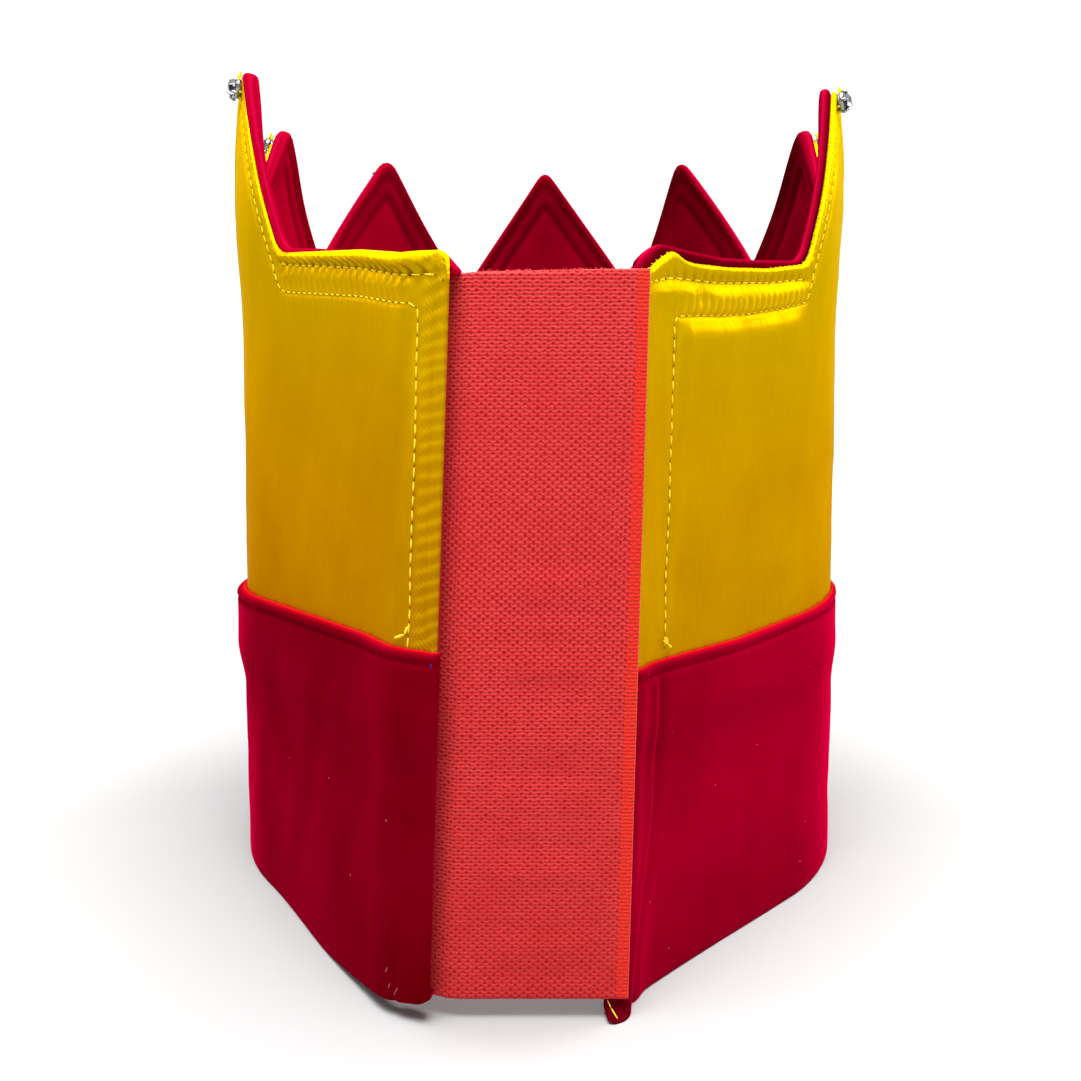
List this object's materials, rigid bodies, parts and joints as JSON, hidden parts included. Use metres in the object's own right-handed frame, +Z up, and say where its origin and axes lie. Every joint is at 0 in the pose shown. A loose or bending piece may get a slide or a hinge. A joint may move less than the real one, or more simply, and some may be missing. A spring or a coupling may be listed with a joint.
{
  "type": "satin crown",
  "caption": "Soft costume crown: a satin wall with triangular points on a velvet lining and deep velvet band, closed at the back by a wide woven hook tape, with a small stone at each tip.",
  "frame": {"origin": "middle of the crown's footprint, on the surface that it stands on", "axes": "+Z up from the hem to the points, +Y towards the wearer's front, -Y towards the closure"},
  "size_m": [0.1844, 0.2149, 0.2204],
  "materials": {
    "satin": "glossy golden yellow satin",
    "lining_velvet": "deep red velvet",
    "band_velvet": "deep red velvet",
    "hook_tape": "woven coral red hook tape",
    "stone": "bright silver, cut in facets"
  },
  "bodies": {
    "root": {"satin_shell": "satin", "velvet_lining": "lining_velvet", "velvet_band": "band_velvet", "hook_tape": "hook_tape", "jewel_1": "stone", "jewel_2": "stone", "jewel_3": "stone", "jewel_4": "stone", "jewel_5": "stone", "jewel_6": "stone", "jewel_7": "stone"}
  },
  "joints": []
}
